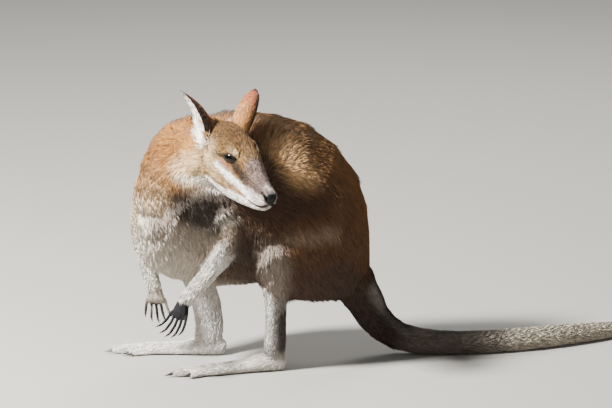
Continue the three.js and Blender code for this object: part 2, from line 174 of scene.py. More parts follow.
def relax(values, edges, steps, weight=1.0):
    values = values.copy()
    share = np.asarray(weight) * 0.5
    if share.ndim:
        share = share[:, None]
    for _ in range(steps):
        values += (neighbourMean(values, edges) - values) * share
    return values


def relaxField(values, steps):
    # one number for each point of the skin, softened over its neighbours
    return relax(values.astype(float)[:, None], skinEdges, steps)[:, 0]


def smoothStep(values, low, high):
    t = np.clip((values - low) / (high - low), 0, 1)
    return t * t * (3 - 2 * t)


def hump(distance, width):
    return np.exp(-((distance / width) ** 2))


def meshObject(name, points, faces):
    mesh = bpy.data.meshes.new(name)
    faces = np.asarray(faces, np.int32)
    sides = faces.shape[1]
    mesh.vertices.add(len(points))
    mesh.vertices.foreach_set("co", np.asarray(points, np.float32).ravel())
    mesh.loops.add(faces.size)
    mesh.loops.foreach_set("vertex_index", faces.ravel())
    mesh.polygons.add(len(faces))
    mesh.polygons.foreach_set("loop_start", np.arange(0, faces.size, sides, dtype=np.int32))
    mesh.polygons.foreach_set("use_smooth", np.ones(len(faces), bool))
    mesh.update(calc_edges=True)
    mesh.validate()
    return addObject(name, mesh)


def movePoints(piece, points):
    piece.data.vertices.foreach_set("co", points.ravel())
    piece.data.update()


def withModifier(piece, kind, **settings):
    modifier = piece.modifiers.new(kind.lower(), kind)
    for key, value in settings.items():
        setattr(modifier, key, value)
    depsgraph = bpy.context.evaluated_depsgraph_get()
    mesh = bpy.data.meshes.new_from_object(piece.evaluated_get(depsgraph))
    piece.modifiers.clear()
    piece.vertex_groups.clear()
    piece.data = mesh
    return mesh


# Skin: the flesh nodes run together, smoothed, and set in by the depth of the coat

coatRegions = {
    # depth of the coat, length and width of a tuft (mm), lift (degrees), looseness, relaxing of the skin
    "trunk": {"depth": 6.0, "length": 21, "width": 1.4, "lift": 10, "loose": 0.12, "relax": 1.0},
    "chest": {"depth": 6.0, "length": 22, "width": 1.4, "lift": 8, "loose": 0.12, "relax": 1.0},
    "neck": {"depth": 5.0, "length": 17, "width": 1.3, "lift": 13, "loose": 0.17, "relax": 1.0},
    "head": {"depth": 1.0, "length": 8.0, "width": 0.75, "lift": 11, "loose": 0.2, "relax": 0.45},
    "ear": {"depth": 0.6, "length": 5.0, "width": 0.6, "lift": 6, "loose": 0.09, "relax": 0.1},
    "thigh": {"depth": 5.0, "length": 19, "width": 1.5, "lift": 10, "loose": 0.12, "relax": 1.0},
    "tail": {"depth": 2.6, "length": 13, "width": 1.2, "lift": 12, "loose": 0.13, "relax": 0.7},
    "arm": {"depth": 2.4, "length": 11, "width": 1.0, "lift": 9, "loose": 0.12, "relax": 0.6},
    "shank": {"depth": 2.2, "length": 10, "width": 1.0, "lift": 8, "loose": 0.11, "relax": 0.6},
    "foot": {"depth": 1.3, "length": 7.0, "width": 0.8, "lift": 10, "loose": 0.14, "relax": 0.35},
    "hand": {"depth": 0.5, "length": 3.4, "width": 0.5, "lift": 6, "loose": 0.12, "relax": 0.06},
}
regionOfNode = {
    "tail_tip": "tail", "tail_end": "tail", "tail_middle": "tail", "tail_root": "tail",
    "hips": "trunk", "belly": "trunk", "chest": "chest", "neck": "neck", "head": "head",
    "ear_left": "ear", "ear_right": "ear",
}
for side in bothSides:
    regionOfNode["thigh_" + side] = "thigh"
    regionOfNode["shank_" + side] = "shank"
    regionOfNode["foot_" + side] = "foot"
    regionOfNode["upper_arm_" + side] = "arm"
    regionOfNode["forearm_" + side] = "arm"
    regionOfNode["hand_" + side] = "hand"
fleshNodes = sorted(regionOfNode)
fleshIndex = {name: i for i, name in enumerate(fleshNodes)}

skinValues = {
    "voxel": 0.0017,
    "swell": 0.0005,  # closes the gaps between neighbouring nodes
    "relaxSteps": 60,
    "creaseSteps": 170,  # further relaxing of the crease between head and neck
    "creaseWidth": 90,  # steps that set how wide the crease is taken to be
    "regrow": 0.004,  # most that relaxed skin is raised again towards the outline
    "faces": 165000,
}


def nodeMesh(name):
    shape = bmesh.new()
    shape.from_mesh(nodes[name].data)
    bmesh.ops.remove_doubles(shape, verts=shape.verts, dist=1e-5)
    bmesh.ops.triangulate(shape, faces=shape.faces)
    shape.normal_update()
    return shape


def gatherNodes(names, swell=0.0):
    points, faces, owners = [], [], []
    for name in names:
        shape = nodeMesh(name)
        start = len(points)
        points += [tuple(v.co + v.normal * swell) for v in shape.verts]
        faces += [[v.index + start for v in f.verts] for f in shape.faces]
        owners += [name] * len(shape.faces)
        shape.free()
    return points, faces, owners


def nearestLabels(points):
    # which flesh node each point belongs to
    return np.array([faceLabels[fleshTree.find_nearest(point)[2]] for point in points.tolist()])


def regionField(key):
    values = np.array([coatRegions[regionOfNode[name]][key] for name in fleshNodes], float)
    return values[labels]


fleshPoints, fleshFaces, owners = gatherNodes(fleshNodes)
fleshTree = bvhtree.BVHTree.FromPolygons(fleshPoints, fleshFaces)
faceLabels = [fleshIndex[name] for name in owners]
skinNodes = [name for name in fleshNodes if regionOfNode[name] not in ("ear", "hand")]
skinNodes += ["eye_left", "eye_right", "nose"]
skin = meshObject("skin", *gatherNodes(skinNodes, skinValues["swell"])[:2])
withModifier(skin, "REMESH", mode="VOXEL", voxel_size=skinValues["voxel"], use_smooth_shade=True)
print("skin remeshed", len(skin.data.polygons))


def largestIsland(piece):
    edges = meshEdges(piece.data)
    count = len(piece.data.vertices)
    island = np.arange(count)
    while True:
        low = np.minimum(island[edges[:, 0]], island[edges[:, 1]])
        nextIsland = island.copy()
        np.minimum.at(nextIsland, edges[:, 0], low)
        np.minimum.at(nextIsland, edges[:, 1], low)
        nextIsland = nextIsland[nextIsland]
        if np.array_equal(nextIsland, island):
            break
        island = nextIsland
    names, sizes = np.unique(island, return_counts=True)
    keep = names[sizes.argmax()]
    if len(names) == 1:
        return
    shape = bmesh.new()
    shape.from_mesh(piece.data)
    shape.verts.ensure_lookup_table()
    stray = [shape.verts[i] for i in np.flatnonzero(island != keep)]
    bmesh.ops.delete(shape, geom=stray, context="VERTS")
    shape.to_mesh(piece.data)
    shape.free()


largestIsland(skin)
skinPoints, skinEdges = meshPoints(skin.data), meshEdges(skin.data)
labels = nearestLabels(skinPoints)
relaxWeight = relaxField(regionField("relax"), 8)
skinPoints = relax(skinPoints, skinEdges, skinValues["relaxSteps"], relaxWeight)

# the crease between head and neck is filled, as the hair there lies over it
headPart = relaxField(labels == fleshIndex["head"], skinValues["creaseWidth"])
crease = smoothStep(4 * headPart * (1 - headPart), 0.1, 0.7)


def shortfall(points, normals):
    # how far the relaxed skin has sunk below the outline of the solids
    found = np.array([tuple(fleshTree.find_nearest(point)[0]) for point in points.tolist()])
    return np.clip(((found - points) * normals).sum(axis=1), 0, skinValues["regrow"])


normals = pointNormals(skinPoints, meshTriangles(skin.data))
skinPoints = skinPoints + normals * relaxField(shortfall(skinPoints, normals), 16)[:, None]
skinPoints = relax(skinPoints, skinEdges, skinValues["creaseSteps"], crease)
depth = relaxField(regionField("depth"), 24) / 1000
normals = pointNormals(skinPoints, meshTriangles(skin.data))
skinPoints = skinPoints - normals * depth[:, None]
skinPoints = relax(skinPoints, skinEdges, 6, relaxWeight)
movePoints(skin, skinPoints)
print("skin relaxed")

careful = skin.vertex_groups.new(name="thin")
carefulNodes = [fleshIndex[n] for n in fleshNodes if regionOfNode[n] not in ("head", "hand", "foot")]
careful.add(np.flatnonzero(np.isin(labels, carefulNodes)).tolist(), 1.0, "REPLACE")
withModifier(
    skin, "DECIMATE", ratio=skinValues["faces"] / (2 * len(skin.data.polygons)),
    vertex_group="thin", vertex_group_factor=1.0,
)
print("skin thinned", len(skin.data.polygons))


# Ears: a rolled leaf each, thin at the rim, standing deep enough in the head to join it

earValues = {
    "length": 91,
    "bow": 8,
    "stations": (  # half-width, roll in radians, thickness
        (15, 2.3, 4.6), (18, 1.8, 3.3), (17.5, 1.6, 2.4), (14.5, 1.3, 1.8), (8, 0.9, 1.2),
    ),
    "tipFrom": 0.86,  # the tip is rounded from here
    "left": {"at": (29, 60, 2), "tip": (0.65, 0.58, 0.49), "opens": (0.66, 0.5, -0.54)},
    "right": {"at": (-29, 62, -6), "tip": (-0.32, 0.66, 0.68), "opens": (-0.94, 0.09, -0.34)},
    "around": 72,
    "rows": 54,
}


def alongStations(stations, share):
    table = np.asarray(stations, float)
    place = np.clip(share, 0, 1) * (len(table) - 1)
    i = np.clip(np.floor(place).astype(int), 0, len(table) - 2)
    t = (place - i)[:, None]
    p1, p2 = table[i], table[i + 1]
    p0 = table[np.maximum(i - 1, 0)]
    p3 = table[np.minimum(i + 2, len(table) - 1)]
    return 0.5 * (2 * p1 + (p2 - p0) * t + (2 * p0 - 5 * p1 + 4 * p2 - p3) * t**2
                  + (3 * p1 - p0 - 3 * p2 + p3) * t**3)


def earAxes(side):
    up = unit(earValues[side]["tip"])
    opens = np.array(earValues[side]["opens"], float)
    opens = unit(opens - up * opens.dot(up))
    return up, opens, np.cross(up, opens)


def earBow(height):
    # how far the back of the ear stands behind the line from its foot to its tip
    return earValues["stations"][0][0] * (1 - height**2) + earValues["bow"] * 4 * height * (1 - height)


def earPiece(side):
    up, opens, across = earAxes(side)
    around, rows = earValues["around"], earValues["rows"]
    v = np.linspace(-0.06, 1, rows)
    shape = alongStations(earValues["stations"], np.clip(v, 0, 1))
    half, roll, wall = shape[:, 0:1], shape[:, 1:2], shape[:, 2:3]
    rounding = np.clip((v - earValues["tipFrom"]) / (1.005 - earValues["tipFrom"]), 0, 1)[:, None]
    half, wall = (half - 0.5) * np.sqrt(1 - rounding**2), wall * 0.8
    radius = half / np.sin(np.minimum(roll, math.pi / 2))
    share = np.arange(around) / around
    swing = np.where(share < 0.5, 4 * share - 1, 3 - 4 * share)[None, :]
    inner = np.where(share < 0.5, 0.0, 1.0)[None, :]
    reach = radius - 0.5 - inner * wall * np.sqrt(np.maximum(0, 1 - swing**2))
    angle = swing * (roll - 0.03)
    place = (
        np.array(earValues[side]["at"], float) + up * (earValues["length"] * v)[:, None, None]
        + across * (reach * np.sin(angle))[:, :, None]
        + opens * (radius - earBow(v)[:, None] - reach * np.cos(angle))[:, :, None]
    )
    ends = [place[0].mean(axis=0), place[-1].mean(axis=0) + up * 0.6]
    points = np.vstack([place.reshape(-1, 3), ends])
    faces = []
    for row in range(rows - 1):
        for k in range(around):
            a, b = row * around + k, row * around + (k + 1) % around
            faces += [(a, b, b + around), (a, b + around, a + around)]
    first, last = len(points) - 2, len(points) - 1
    for k in range(around):
        faces.append((first, (k + 1) % around, k))
        faces.append((last, (rows - 1) * around + k, (rows - 1) * around + (k + 1) % around))
    points = headPlace(points)
    faces = np.array(faces)
    if (faceVectors(points, faces) * points[faces[:, 0]]).sum() < 0:
        faces = faces[:, ::-1]
    return meshObject("ear" + side.title(), points, faces)


def joinToSkin(piece):
    withModifier(skin, "BOOLEAN", operation="UNION", object=piece, solver="MANIFOLD")
    print(piece.name, "joined", len(skin.data.polygons))
    bpy.data.objects.remove(piece)


for side in bothSides:
    joinToSkin(earPiece(side))


# Hands: finer than the rest so the fingers stay apart, each with a plug that runs up into the forearm

handValues = {
    "voxel": 0.0009,
    "inset": 0.0004,
    "plug": (18, 7.5),  # half-length and radius
    "left": {"wrist": (73, -135, 138), "ahead": (0.05, -0.45, -0.9)},
    "right": {"wrist": (-30, -168, 138), "ahead": (0.08, 0.06, -1)},
}


def handPiece(side):
    shape = nodeMesh("hand_" + side)
    wrist, ahead = handValues[side]["wrist"], Vector(handValues[side]["ahead"])
    length, radius = handValues["plug"]
    turn = ahead.to_track_quat("Z", "Y").to_matrix().to_4x4()
    size = Matrix.Diagonal((radius / 1000, radius / 1000, length / 1000, 1))
    at = Matrix.Translation(bodyPlace(wrist)) @ turn @ size
    bmesh.ops.create_uvsphere(shape, u_segments=24, v_segments=16, radius=1, matrix=at)
    bmesh.ops.triangulate(shape, faces=shape.faces)
    points = np.array([tuple(v.co) for v in shape.verts])
    piece = meshObject("hand" + side.title(), points, [[v.index for v in f.verts] for f in shape.faces])
    shape.free()
    withModifier(piece, "REMESH", mode="VOXEL", voxel_size=handValues["voxel"], use_smooth_shade=True)
    points, edges = meshPoints(piece.data), meshEdges(piece.data)
    points = relax(points, edges, 5)
    points -= pointNormals(points, meshTriangles(piece.data)) * handValues["inset"]
    movePoints(piece, points)
    return piece


for side in bothSides:
    joinToSkin(handPiece(side))


# The face gets a finer mesh where lids, nostrils and lips are shaped

# places and how far around each the mesh is refined, first coarsely and then finely
faceSpots = (
    {(30, -1, -3): 19, (-30, -1, -3): 19, (0, -84, -34): 30},
    {(29, -1, -3): 15, (-29, -1, -3): 15, (0, -92, -30): 20},
)


def refineFace(piece, spots):
    shape = bmesh.new()
    shape.from_mesh(piece.data)
    shape.verts.ensure_lookup_table()
    places = inHead(np.array([v.co for v in shape.verts]))
    near = np.zeros(len(places), bool)
    for middle, reach in spots.items():
        near |= np.linalg.norm(places - np.array(middle), axis=1) < reach
    edges = [e for e in shape.edges if near[e.verts[0].index] and near[e.verts[1].index]]
    bmesh.ops.subdivide_edges(shape, edges=edges, cuts=1, smooth=0.0)
    bmesh.ops.triangulate(shape, faces=[f for f in shape.faces if len(f.verts) > 3])
    shape.to_mesh(piece.data)
    shape.free()


for spots in faceSpots:
    refineFace(skin, spots)
skinPoints, skinEdges = meshPoints(skin.data), meshEdges(skin.data)
labels = nearestLabels(skinPoints)
triangles = meshTriangles(skin.data)
print("skin refined", len(triangles))


# Eyes

eyeValues = {
    "middle": (20.0, 1.5, -3.0),
    "radius": 13.2,
    "outward": (0.93, -0.3, 0.2),
    "along": (-0.342, -0.912, 0.223),  # from the back corner to the front one
    "reach": 68,  # degrees from the middle of the lids to a corner
    "upper": 24,
    "lower": 17,
    "lid": 1.0,
    "rim": (7, 17),  # degrees from the opening over which the bare dark skin fades
    "cornea": 0.035,
    "pupil": "#0b0706",
    "iris": "#28170e",
    "white": "#2a1a14",
}


def mirrored(vector, side):
    return np.array(vector, float) * ((1 if side == "left" else -1), 1, 1)


def eyeAxes(side):
    outward = unit(mirrored(eyeValues["outward"], side))
    along = mirrored(eyeValues["along"], side)
    along = unit(along - outward * along.dot(outward))
    above = np.cross(outward, along) * (1 if side == "left" else -1)
    if above[2] < 0:
        above = -above
    return outward, along, above


def lidAngles(local, side):
    # how far each point faces outward, and its angles along and across the opening
    outward, along, above = eyeAxes(side)
    direction = unit(local)
    facing = direction @ outward
    ahead = np.maximum(facing, 0.05)
    a = np.degrees(np.arctan2(direction @ along, ahead))
    b = np.degrees(np.arctan2(direction @ above, ahead))
    return direction, facing, a, b


def lidGap(a):
    # upper and lower edge of the opening, in degrees, at a degrees along it
    t = np.clip(a / eyeValues["reach"], -1, 1)
    hood = np.sqrt(np.maximum(0, 1 - t**2))
    return eyeValues["upper"] * hood * (1 - 0.18 * t), -eyeValues["lower"] * hood * (1 + 0.15 * t)


def shapeLids(places, side):
    middle, radius = mirrored(eyeValues["middle"], side), eyeValues["radius"]
    distance = np.linalg.norm(places - middle, axis=1)
    direction, facing, a, b = lidAngles(places - middle, side)
    upper, lower = lidGap(a)
    inside = np.minimum(upper - b, b - lower)  # degrees inside the opening
    beyond = np.abs(a) - eyeValues["reach"]
    inside = np.where(beyond < 0, inside, -beyond - 1)
    near = (facing > 0.05) & (distance < radius + 9)
    # lids thicken to a rounded edge, then fall behind the eyeball inside the opening
    edge = hump(inside + 5, 6)
    lidRadius = radius + 0.35 + eyeValues["lid"] * edge + np.maximum(0, -inside - 8) * 0.02
    reach = np.where(inside > 0, radius - 0.25 - 0.12 * inside, lidRadius)
    blend = near * (1 - smoothStep(-inside, 12, 46))
    blend = np.where(inside > 0, near * 1.0, blend)
    target = np.where((inside > 0) | (distance < lidRadius), reach, distance * 0.35 + lidRadius * 0.65)
    newDistance = distance + (target - distance) * blend
    # a shallow fold above the upper lid and a bag below the lower one
    fold = 0.5 * hump(b - upper - 30, 8) - 0.9 * hump(b - upper - 17, 5) - 0.6 * hump(b - lower + 15, 5)
    fold *= near * (1 - smoothStep(np.abs(a), 42, 70))
    return middle + direction * (newDistance + fold * (inside < 0))[:, None]


places = inHead(skinPoints)
headMask = labels == fleshIndex["head"]
for side in bothSides:
    own = headMask & (mirrored(places, side)[:, 0] > 0) & (np.abs(places[:, 1]) < 30)
    places[own] = shapeLids(places[own], side)


# Muzzle: a seat for the nose, nostril wings, the split lip and the line of the mouth

mouthValues = {
    # from the middle of the lips to the corner
    "line": ((0, -98, -36.5), (6.5, -95.5, -38), (12.4, -88, -42.5), (16.2, -77, -45), (18, -65, -46.5)),
    "depth": 4.2,
    "width": 1.8,
}
noseValues = {
    "middle": (0, -90, -25), "half": (12, 12, 9), "chin": 13,
    "nostril": ((8, -96.5, -26.5), (11.6, -90, -21.5), (12.4, -82.5, -18)),
    "depth": 5.0, "width": 2.2, "pad": 0.9, "wall": 0.8, "colour": "#1c1817",
}
# raised beside those lines: line, how far aside in mm, height and width
muzzleRidges = (
    (mouthValues["line"], (1.5, 0, 4.5), 1.3, 3.6),  # upper lip
    (mouthValues["line"], (0, 0, -4), 0.5, 2.6),  # lower lip
    (noseValues["nostril"], (2.4, 0.5, -2.6), 1.5, 1.9),  # wing of the nostril
    (noseValues["nostril"], (-3.4, 0, 2.2), 0.8, 2.2),
)


def segmentDistance(points, start, end):
    start, end = np.array(start, float), np.array(end, float)
    line = end - start
    t = np.clip((points - start) @ line / line.dot(line), 0, 1)
    return np.linalg.norm(points - start - t[:, None] * line, axis=1), t


def lineDistance(points, line):
    # distance from a bent line, and how far along it from 0 to 1
    best, share = np.full(len(points), 1e9), np.zeros(len(points))
    for i in range(len(line) - 1):
        distance, t = segmentDistance(points, line[i], line[i + 1])
        closer = distance < best
        best = np.where(closer, distance, best)
        share = np.where(closer, (i + t) / (len(line) - 1), share)
    return best, share


def folded(points):
    half = points.copy()
    half[:, 0] = np.abs(half[:, 0])
    return half


def noseShare(points):
    # above 0 inside the bare pad of the nose, 0 at its edge
    half = folded(points)
    middle, size = noseValues["middle"], noseValues["half"]
    x, z = half[:, 0] / size[0], (half[:, 2] - middle[2]) / size[2]
    upper = 1 - np.hypot(x, z)
    lower = (1 - (np.maximum(-z, 0) * size[2] / noseValues["chin"]) ** 1.2) - x
    return np.where(half[:, 1] < -77, np.where(z > 0, upper, np.minimum(lower, 1)), -1.0)


def shapeMuzzle(places, normals):
    half = folded(places)
    mouth, along = lineDistance(half, mouthValues["line"])
    push = -mouthValues["depth"] * hump(mouth, mouthValues["width"]) * (1 - 0.6 * along**2)
    hole, along = lineDistance(half, noseValues["nostril"])
    push -= noseValues["depth"] * (1 - 0.55 * along) * hump(hole, noseValues["width"])
    for line, aside, height, width in muzzleRidges:
        ridge, _ = lineDistance(half, np.array(line, float) + aside)
        push += height * hump(ridge, width)
    push += noseValues["pad"] * smoothStep(noseShare(places), -0.03, 0.1)
    split = hump(half[:, 0], 0.9) * smoothStep(-half[:, 2], 26, 31) * (half[:, 1] < -88)
    return places + normals * (push - 1.2 * split)[:, None]


normals = pointNormals(places, triangles)
muzzleMask = headMask & (places[:, 1] < -48)
places[muzzleMask] = shapeMuzzle(places[muzzleMask], normals[muzzleMask])
skinPoints = headPlace(places)
movePoints(skin, skinPoints)
print("face shaped")


# Markings, with some painted light and shade: a colour for each node, softened across the joins, then strokes
# laid over it

markingValues = {
    "deepen": 1.4,  # hair in full light looks paler than its colour, so darks are laid on deeper
    "soften": 26,  # steps over which the colour of one node runs into the next
}


def linear(colour):
    value = np.array([int(colour[i:i + 2], 16) for i in (1, 3, 5)]) / 255
    light = np.where(value <= 0.04045, value / 12.92, ((value + 0.055) / 1.055) ** 2.4)
    return light ** markingValues["deepen"]


nodeColours = {
    "tail_tip": "#d6cdbd", "tail_end": "#c9c0b1", "tail_middle": "#847b72", "tail_root": "#5c4c42",
    "hips": "#7a5d42", "belly": "#6c5847", "chest": "#aca093", "neck": "#b0864c", "head": "#94794d",
    # the left ear paler than the right: painted sunlit and shaded tones of the same back of the ear
    "ear_left": "#c79a6c", "ear_right": "#7d5430",
    "thigh_left": "#644c3b", "thigh_right": "#6f5643",
    "shank_left": "#a39e99", "shank_right": "#dfdad4",
    "foot_left": "#dfd9d1", "foot_right": "#e4dfd8",
    "upper_arm_left": "#b8aa99", "upper_arm_right": "#d3bfa3",
    "forearm_left": "#e2ddd6", "forearm_right": "#e4dfd8",
    "hand_left": "#2c2a2c", "hand_right": "#b5a99d",
}

# Each stroke: from, to, half-width and softness in mm, colour, strength
bodyStrokes = [
    ((5, -60, 440), (5, 150, 390), 50, 60, "#98774f", 0.85),  # top of the back
    ((68, 34, 370), (80, 60, 344), 19, 24, "#e2c095", 0.92),  # painted highlight: sunlit pale saddle on the left side
    # the same painted highlight on the right side
    ((-64, 10, 372), (-74, 50, 344), 18, 24, "#d8b88c", 0.85),
    ((95, -20, 290), (88, 84, 306), 22, 34, "#5e4532", 0.8),  # dark flank: partly darker fur, partly painted shadow of the head, on both sides
    ((-95, -30, 290), (-88, 74, 306), 22, 34, "#5e4532", 0.8),
    ((5, 165, 345), (5, 195, 240), 40, 45, "#8c6941", 0.8),  # rusty rump
    ((92, -40, 235), (92, -5, 215), 22, 30, "#58483c", 0.8),  # painted shade behind the elbow, on both sides
    ((-90, -40, 240), (-92, 0, 225), 22, 30, "#58483c", 0.8),
    ((101, 36, 245), (90, 116, 253), 5, 20, "#a3917e", 0.75),  # hip stripe
    ((-98, -30, 250), (-88, 76, 258), 5, 20, "#a3917e", 0.75),
    ((104, 4, 222), (100, 14, 150), 17, 20, "#a89d92", 0.85),  # front of the near thigh
    ((-104, -90, 225), (-98, -60, 150), 17, 20, "#b3a89c", 0.85),
    # painted shade on the rear of the near thigh, the side turned from the light
    ((90, 120, 170), (60, 160, 140), 26, 34, "#5c4a3d", 0.7),
    ((5, -130, 140), (5, 60, 128), 44, 26, "#d6cdc0", 0.85),  # belly
    ((30, -180, 190), (0, -205, 260), 46, 26, "#ded7cb", 0.9),  # pale breast
    ((74, -150, 235), (60, -120, 190), 28, 22, "#cfc7bb", 0.8),
    ((78, -144, 312), (90, -90, 286), 19, 16, "#51473f", 0.94),  # painted shadow of the head and jaw on the throat
    ((84, -109, 318), (84, -68, 314), 12, 8, "#51473f", 0.9),
    ((60, -165, 262), (86, -118, 250), 16, 20, "#a0968c", 0.7),
    ((-42, -198, 340), (-20, -218, 290), 30, 34, "#dcc7a6", 0.8),  # cream point of the shoulder
    ((53, -187, 323), (38, -218, 300), 20, 24, "#e4d6bf", 0.75),
    ((-30, -148, 408), (26, -184, 370), 30, 44, "#b58347", 0.8),  # orange shoulder
    ((52, -158, 392), (50, -180, 350), 18, 24, "#b58a55", 0.6),
    ((-34, -196, 342), (54, -180, 338), 9, 40, "#c9ad88", 0.65),  # where orange runs into cream
    ((20, -85, 440), (40, -112, 430), 24, 26, "#b38757", 0.8),  # nape
    ((70, -132, 366), (92, -106, 372), 15, 16, "#dcc6a3", 0.75),  # cream behind the cheek
    ((84, -110, 348), (84, -80, 333), 9, 5, "#f6f1e8", 1.0),  # white edge of the throat
    ((84, -80, 333), (90, -56, 318), 7, 5, "#f3ede4", 1.0),
    ((60, -142, 352), (84, -108, 346), 5, 8, "#eee3d2", 0.9),
    ((88, -62, 292), (89, -90, 280), 3, 4, "#e2dbd1", 0.8),  # pale folds below it
    ((89, -48, 284), (89, -74, 270), 3, 4, "#d8d0c5", 0.7),
    ((2, 200, 180), (6, 240, 60), 30, 26, "#433631", 0.8),  # dark upper side of the tail root
    ((26, 190, 130), (36, 250, 50), 9, 12, "#9a948e", 0.75),  # pale line along its side
    ((28, 300, 44), (30, 420, 40), 8, 14, "#4c423d", 0.6),
    ((78, 32, 106), (71, 36, 46), 8, 8, "#4b423c", 0.85),  # painted shade on the back of the near shank, the side turned from the light
    ((84, 2, 150), (71, 2, 56), 10, 8, "#ece8e2", 0.95),
    ((55, -120, 16), (55, -160, 8), 14, 14, "#bfb2a3", 0.4),  # toes
    ((-28, -170, 92), (-26, -170, 60), 18, 9, "#2f2a29", 0.92),  # dark fingers
    ((-33, -176, 100), (-34, -178, 76), 2.2, 3, "#c9c0b6", 0.8),  # pale streak between them
]
headStrokes = [
    ((0, 6, 27), (0, 70, 30), 24, 18, "#6a4e2b", 0.85),  # crown
    ((30, 30, 6), (30, 52, 6), 12, 14, "#7f643e", 0.6),  # temples
    ((36, 40, -10), (36, 16, -34), 13, 12, "#cbb591", 0.85),  # cream cheek
    ((0, -84, -30), (0, -98, -30), 18, 8, "#b3a69d", 0.9),  # pale ring round the nose
    ((0, -12, 20), (2, -40, 4), 8, 9, "#8a7357", 0.8),
    ((4, -42, 0), (8, -76, -14), 11, 9, "#8f7f78", 0.92),  # grey bridge of the muzzle
    ((27, -16, -4), (22, -50, -16), 6, 5, "#45311f", 0.92),  # dark stripe from eye to nose
    ((22, -50, -16), (17, -78, -22), 5.5, 6, "#6a5a52", 0.85),
    ((0, -92, -14), (0, -78, -12), 3.5, 4, "#c2b9b3", 0.9),  # pale above the nose
    ((26, -2, 12), (20, -13, 8), 3, 5, "#c9b494", 0.7),  # pale spot before the brow
    ((33, 16, 14), (30, 0, 15), 4, 4, "#b08f62", 0.6),
    ((35, 10, -20), (29, -22, -28), 5, 3.5, "#f6f1e8", 1.0),  # white cheek stripe
    ((29, -22, -28), (19, -70, -38), 6.5, 4, "#f4eee5", 1.0),
    ((19, -64, -33), (13, -88, -36), 9, 5, "#c9c0bb", 0.9),  # upper lip
    ((18, -62, -42), (10, -90, -44), 4, 3, "#f1ebe4", 0.95),
    ((38, 28, -42), (26, -36, -45), 5, 6, "#b9a081", 0.7),  # sandy band below it
    ((33, 44, -66), (24, -25, -62), 8, 4, "#f3eee6", 1.0),  # white jaw
    ((24, -25, -62), (12, -80, -55), 10, 4, "#f3eee6", 1.0),
    ((0, 40, -84), (0, -84, -58), 20, 8, "#e6e0d6", 0.95),
    ((36, 50, -20), (33, 68, -26), 18, 12, "#d6c09a", 0.85),  # cream side of the neck
    ((34, 8, -14), (32, -14, -16), 4, 5, "#b08672", 0.7),  # pinkish below the eye
    ((32, -18, -8), (27, -26, -11), 2.4, 2.4, "#2e1f17", 0.85),  # tear stain
    ((33, 18, -5), (36, 24, -7), 2, 3, "#5b4332", 0.7),
]
# painted shade in the hollow in front of the left eye, on that side only
leftEyeShade = [((24, -15, 4), (29, -1, 8), 4.5, 3, "#251914", 1.0)]
# pale hair standing in the opening of each ear and down the side of the head below it
earHair = {
    "left": {"from": (36, 74, 2), "to": (40, 60, -14), "reach": 7, "soft": 6, "tint": "#eae0d2"},
    "right": {"from": (-32, 90, 5), "to": (-40, 50, -9), "reach": 6, "soft": 4, "tint": "#f6f0e8"},
}


def belongsTo(*names):
    return np.isin(labels, [fleshIndex[name] for name in names])


def tintSkin(colour, share):
    colours[:] = colours + (linear(colour) - colours) * share[:, None]


def paint(points, strokes, share):
    for start, end, width, soft, colour, strength in strokes:
        distance, _ = segmentDistance(points, start, end)
        mask = (1 - smoothStep(distance, width - soft / 2, width + soft)) * strength
        tintSkin(colour, mask * share)


colours = np.array([linear(nodeColours[name]) for name in fleshNodes])[labels]
colours = relax(colours, skinEdges, markingValues["soften"])
bodyShare = relaxField(~belongsTo("head", "ear_left", "ear_right"), 6)
headShare = relaxField(headMask, 6)
halfPlaces = folded(places)
paint((skinPoints - heelPoint) * 1000, bodyStrokes, bodyShare)
paint(halfPlaces, headStrokes, headShare)
paint(places, leftEyeShade, headShare)

hairBelowEar = np.zeros(len(places))
insideEars = np.zeros(len(places), bool)
for side, values in earHair.items():
    distance, _ = segmentDistance(places, values["from"], values["to"])
    fade = smoothStep(distance, values["reach"] - 2, values["reach"] + values["soft"])
    share = belongsTo("head", "neck") * (1 - fade)
    tintSkin(values["tint"], share)
    hairBelowEar = np.maximum(hairBelowEar, share)

# Ears: pale hair inside, dark tips, and dark margins that are partly black rims and partly painted shade of
# the shadowed openings. The left ear is paler and pinker than the right: painted sunlit and shaded tones of
# the same back of the ear. Swing runs from one margin, -1, to the other, 1.
earMarks = {
    "left": {"margins": ((-1, 0.42, 0.72), (1, 0.74, 0.92)), "dark": "#1f1815", "blush": "#c07a5c"},
    "right": {"margins": ((1, 0.35, 0.75),), "dark": "#231b18", "blush": "#8d5f42"},
}
for side, marks in earMarks.items():
    up, opens, across = earAxes(side)
    own = belongsTo("ear_" + side)
    local = places - earValues[side]["at"]
    height = local @ up / earValues["length"]
    shape = alongStations(earValues["stations"], height)
    radius = shape[:, 0] / np.sin(np.minimum(shape[:, 1], math.pi / 2))
    depthIn = local @ opens + earBow(height) - radius
    swing = np.arctan2(local @ across, -depthIn) / np.maximum(shape[:, 1], 0.3)
    reach = np.hypot(local @ across, depthIn)
    insideEar = own & (reach < radius - 0.5 - shape[:, 2] * 0.4)
    insideEars = insideEars | insideEar
    tintSkin(marks["blush"], own * smoothStep(height, 0.35, 0.75) * 0.8)
    colours[insideEar] = linear("#f0e8de")
    dark = own * smoothStep(height, 0.86, 0.97)
    # each margin: partly the ear's black rim, partly painted shade of its shadowed opening
    for sign, low, high in marks["margins"]:
        margin = smoothStep(swing * sign, low, high) * smoothStep(height, -0.1, 0.1)
        dark = np.maximum(dark, own * margin * (1 - 0.75 * insideEar))
    tintSkin(marks["dark"], dark * 0.92)
